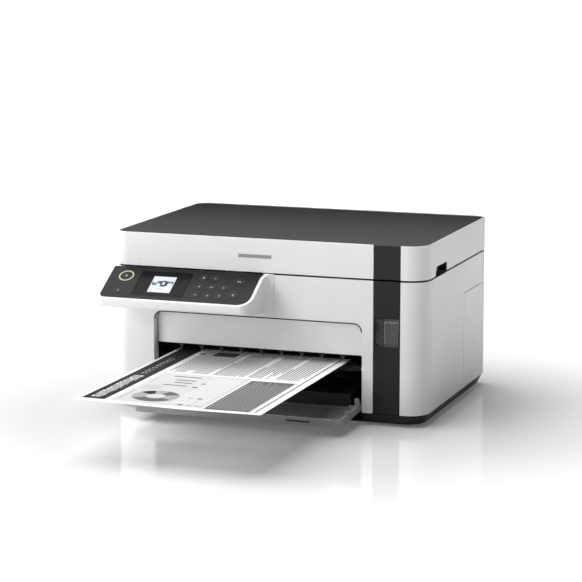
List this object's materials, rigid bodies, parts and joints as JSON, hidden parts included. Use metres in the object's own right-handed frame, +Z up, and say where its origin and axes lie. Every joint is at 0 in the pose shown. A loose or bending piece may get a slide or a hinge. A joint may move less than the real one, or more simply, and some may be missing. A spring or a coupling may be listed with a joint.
{
  "type": "inkjet printer",
  "caption": "All-in-one ink-tank inkjet printer with lifting scanner unit, tilted console, flip-down output tray and a printed sheet coming out.",
  "frame": {"origin": "middle of the footprint on the floor, the footprint taking in the printed sheet in front", "axes": "+X to the printer's right seen from the front, +Y to its back, +Z up"},
  "size_m": [0.375, 0.529, 0.206],
  "materials": {
    "white_plastic": "fine satin grain",
    "flap_grey": "satin",
    "black_plastic": "fine matte grain",
    "strip_black": "satin",
    "lid_charcoal": "satin grain",
    "panel_gloss": "semi gloss film",
    "key_gloss": "semi gloss",
    "head_gloss": "gloss",
    "foot_rubber": "matt",
    "roller_rubber": "matt",
    "rail_steel": "rolled",
    "gear_acetal": "satin",
    "board_green": "solder mask",
    "clear_window": "clear moulded plastic",
    "tank_clear": "clear moulded plastic with ribs",
    "platen_glass": "polished",
    "screen_glass": "dark display window",
    "sheet_paper": "plain copy paper"
  },
  "bodies": {
    "chassis": {"base_pan": "black_plastic", "foot_front_left": "foot_rubber", "foot_front_right": "foot_rubber", "foot_rear_left": "foot_rubber", "foot_rear_right": "foot_rubber", "front_cover": "white_plastic", "left_side_cover": "white_plastic", "rear_cover": "white_plastic", "corner_column": "white_plastic", "right_side_cover": "white_plastic", "front_strip": "strip_black", "ink_window": "clear_window", "frame_left": "black_plastic", "frame_right": "black_plastic", "carriage_rail": "rail_steel", "front_flap": "flap_grey", "paper_cassette": "black_plastic", "feed_motor": "rail_steel", "platen": "black_plastic", "carriage_belt": "roller_rubber", "carriage_motor": "rail_steel", "ink_tank": "tank_clear", "maintenance_box": "black_plastic", "main_board": "board_green", "ac_inlet": "black_plastic", "console_body": "white_plastic", "console_panel": "panel_gloss", "display": "screen_glass"},
    "scanner_unit": {"scanner_housing": "white_plastic", "scanner_strip": "strip_black", "scanner_glass": "platen_glass"},
    "document_lid": {"document_lid": "lid_charcoal"},
    "scan_bar": {"scan_bar": "black_plastic"},
    "output_tray": {"output_tray": "flap_grey"},
    "printed_sheet": {"printed_sheet": "sheet_paper"},
    "carriage": {"carriage": "black_plastic", "print_head": "head_gloss"},
    "drive_pulley": {"drive_pulley": "gear_acetal"},
    "idler_pulley": {"idler_pulley": "gear_acetal"},
    "feed_roller": {"feed_roller": "roller_rubber", "feed_gear": "gear_acetal"},
    "exit_roller": {"exit_roller": "roller_rubber", "exit_gear": "gear_acetal"},
    "motor_pinion": {"motor_pinion": "gear_acetal"},
    "edge_guide_left": {"edge_guide_left": "black_plastic"},
    "edge_guide_right": {"edge_guide_right": "black_plastic"},
    "ink_tank_cap": {"ink_tank_cap": "black_plastic"},
    "service_cover": {"service_cover": "white_plastic"},
    "power_button": {"power_button": "key_gloss"},
    "menu_button": {"menu_button": "key_gloss"},
    "home_button": {"home_button": "key_gloss"},
    "up_button": {"up_button": "key_gloss"},
    "left_button": {"left_button": "key_gloss"},
    "ok_button": {"ok_button": "key_gloss"},
    "right_button": {"right_button": "key_gloss"},
    "back_button": {"back_button": "key_gloss"},
    "down_button": {"down_button": "key_gloss"},
    "help_button": {"help_button": "key_gloss"},
    "stop_button": {"stop_button": "key_gloss"},
    "start_button": {"start_button": "key_gloss"}
  },
  "joints": [
    {"name": "scanner_lift", "type": "hinge", "parent": "chassis", "child": "scanner_unit", "pos_m": [0, 0.2645, 0.1673], "axis": [-1, 0, 0], "range_deg": [0, 35]},
    {"name": "lid_hinge", "type": "hinge", "parent": "scanner_unit", "child": "document_lid", "pos_m": [0, 0.26205, 0.2054], "axis": [-1, 0, 0], "range_deg": [0, 80]},
    {"name": "scan_travel", "type": "slide", "parent": "scanner_unit", "child": "scan_bar", "axis": [1, 0, 0], "range_m": [0, 0.29]},
    {"name": "tray_hinge", "type": "hinge", "parent": "chassis", "child": "output_tray", "pos_m": [-0.0119, 0.0005, 0.0185], "axis": [-1, 0, 0], "range_deg": [0, 93.6], "deforming": ["printed_sheet"]},
    {"name": "sheet_feed", "type": "slide", "parent": "chassis", "child": "printed_sheet", "axis": [0, -1, -0.0017], "range_m": [0, 0.03]},
    {"name": "carriage_travel", "type": "slide", "parent": "chassis", "child": "carriage", "axis": [-1, 0, 0], "range_m": [0, 0.188]},
    {"name": "drive_pulley_spin", "type": "hinge", "parent": "chassis", "child": "drive_pulley", "pos_m": [0.1038, 0.0955, 0.14], "axis": [0, 1, 0], "continuous": true},
    {"name": "idler_pulley_spin", "type": "hinge", "parent": "chassis", "child": "idler_pulley", "pos_m": [-0.1276, 0.0955, 0.14], "axis": [0, 1, 0], "continuous": true},
    {"name": "feed_spin", "type": "hinge", "parent": "chassis", "child": "feed_roller", "pos_m": [-0.0125, 0.0691, 0.0598], "axis": [1, 0, 0], "continuous": true},
    {"name": "exit_spin", "type": "hinge", "parent": "chassis", "child": "exit_roller", "pos_m": [-0.0125, 0.0225, 0.0598], "axis": [1, 0, 0], "continuous": true},
    {"name": "motor_spin", "type": "hinge", "parent": "chassis", "child": "motor_pinion", "pos_m": [-0.1525, 0.0458, 0.0598], "axis": [1, 0, 0], "continuous": true},
    {"name": "guide_left_travel", "type": "slide", "parent": "chassis", "child": "edge_guide_left", "axis": [1, 0, 0], "range_m": [0, 0.05]},
    {"name": "guide_right_travel", "type": "slide", "parent": "chassis", "child": "edge_guide_right", "axis": [1, 0, 0], "range_m": [-0.05, 0]},
    {"name": "tank_cap_hinge", "type": "hinge", "parent": "chassis", "child": "ink_tank_cap", "pos_m": [0.1535, 0.0485, 0.1402], "axis": [-1, 0, 0], "range_deg": [0, 100]},
    {"name": "service_cover_pull", "type": "slide", "parent": "chassis", "child": "service_cover", "axis": [1, 0, 0], "range_m": [0, 0.03]},
    {"name": "power_press", "type": "slide", "parent": "chassis", "child": "power_button", "axis": [0, 0.5, -0.866], "range_m": [0, 0.0008], "stiffness_N_per_m": 300},
    {"name": "menu_press", "type": "slide", "parent": "chassis", "child": "menu_button", "axis": [0, 0.5, -0.866], "range_m": [0, 0.0008], "stiffness_N_per_m": 300},
    {"name": "home_press", "type": "slide", "parent": "chassis", "child": "home_button", "axis": [0, 0.5, -0.866], "range_m": [0, 0.0008], "stiffness_N_per_m": 300},
    {"name": "up_press", "type": "slide", "parent": "chassis", "child": "up_button", "axis": [0, 0.5, -0.866], "range_m": [0, 0.0008], "stiffness_N_per_m": 300},
    {"name": "left_press", "type": "slide", "parent": "chassis", "child": "left_button", "axis": [0, 0.5, -0.866], "range_m": [0, 0.0008], "stiffness_N_per_m": 300},
    {"name": "ok_press", "type": "slide", "parent": "chassis", "child": "ok_button", "axis": [0, 0.5, -0.866], "range_m": [0, 0.0008], "stiffness_N_per_m": 300},
    {"name": "right_press", "type": "slide", "parent": "chassis", "child": "right_button", "axis": [0, 0.5, -0.866], "range_m": [0, 0.0008], "stiffness_N_per_m": 300},
    {"name": "back_press", "type": "slide", "parent": "chassis", "child": "back_button", "axis": [0, 0.5, -0.866], "range_m": [0, 0.0008], "stiffness_N_per_m": 300},
    {"name": "down_press", "type": "slide", "parent": "chassis", "child": "down_button", "axis": [0, 0.5, -0.866], "range_m": [0, 0.0008], "stiffness_N_per_m": 300},
    {"name": "help_press", "type": "slide", "parent": "chassis", "child": "help_button", "axis": [0, 0.5, -0.866], "range_m": [0, 0.0008], "stiffness_N_per_m": 300},
    {"name": "stop_press", "type": "slide", "parent": "chassis", "child": "stop_button", "axis": [0, 0.5, -0.866], "range_m": [0, 0.0008], "stiffness_N_per_m": 300},
    {"name": "start_press", "type": "slide", "parent": "chassis", "child": "start_button", "axis": [0, 0.5, -0.866], "range_m": [0, 0.0008], "stiffness_N_per_m": 300}
  ],
  "couplings": [
    {"joint": "drive_pulley_spin", "follows": "carriage_travel", "rad_per_m": 200},
    {"joint": "idler_pulley_spin", "follows": "carriage_travel", "rad_per_m": 200},
    {"joint": "exit_spin", "follows": "feed_spin", "ratio": 1},
    {"joint": "motor_spin", "follows": "feed_spin", "ratio": -3.6},
    {"joint": "guide_right_travel", "follows": "guide_left_travel", "ratio": -1}
  ]
}
